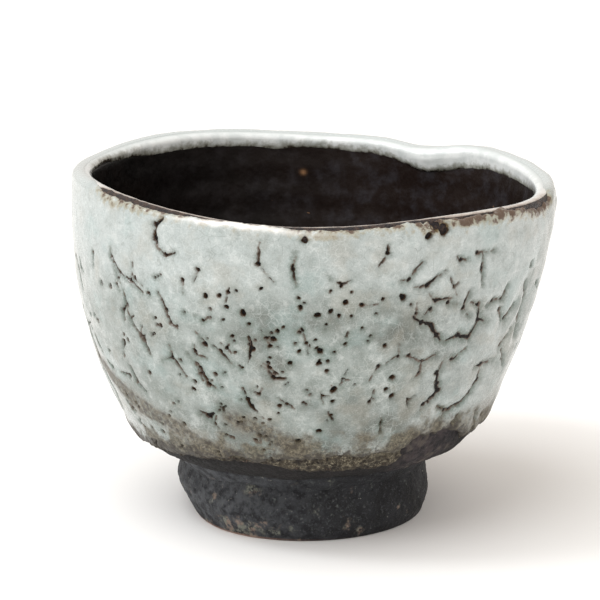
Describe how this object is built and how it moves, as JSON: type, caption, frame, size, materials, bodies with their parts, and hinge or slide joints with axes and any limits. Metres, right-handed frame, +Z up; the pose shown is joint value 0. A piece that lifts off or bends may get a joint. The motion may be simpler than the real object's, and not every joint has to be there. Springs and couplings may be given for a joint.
{
  "type": "tea bowl",
  "caption": "Hand-formed stoneware tea bowl on a luted foot ring, with a thick crackled pale glaze outside, a dark glazed hollow and a dented lip.",
  "frame": {"origin": "on the table under the middle of the bowl's bounding box, so the bowl rests on Z = 0", "axes": "+Z up out of the mouth; -Y the front, with the chipped lip; +X the bowl's right seen from the front; the dent in the lip is at the back right"},
  "size_m": [0.1178, 0.117, 0.087],
  "materials": {
    "body_clay": "matte",
    "foot_clay": "matte",
    "slip_clay": "matte",
    "pale_glaze": "gloss",
    "crust_glaze": "satin",
    "band_glaze": "gloss",
    "dark_glaze": "gloss"
  },
  "bodies": {
    "root": {"clay_body": "body_clay", "foot_ring": "foot_clay", "joint_slip": "slip_clay", "outer_glaze": "pale_glaze", "glaze_crust": "crust_glaze", "rim_glaze": "band_glaze", "liner_glaze": "dark_glaze"}
  },
  "joints": []
}
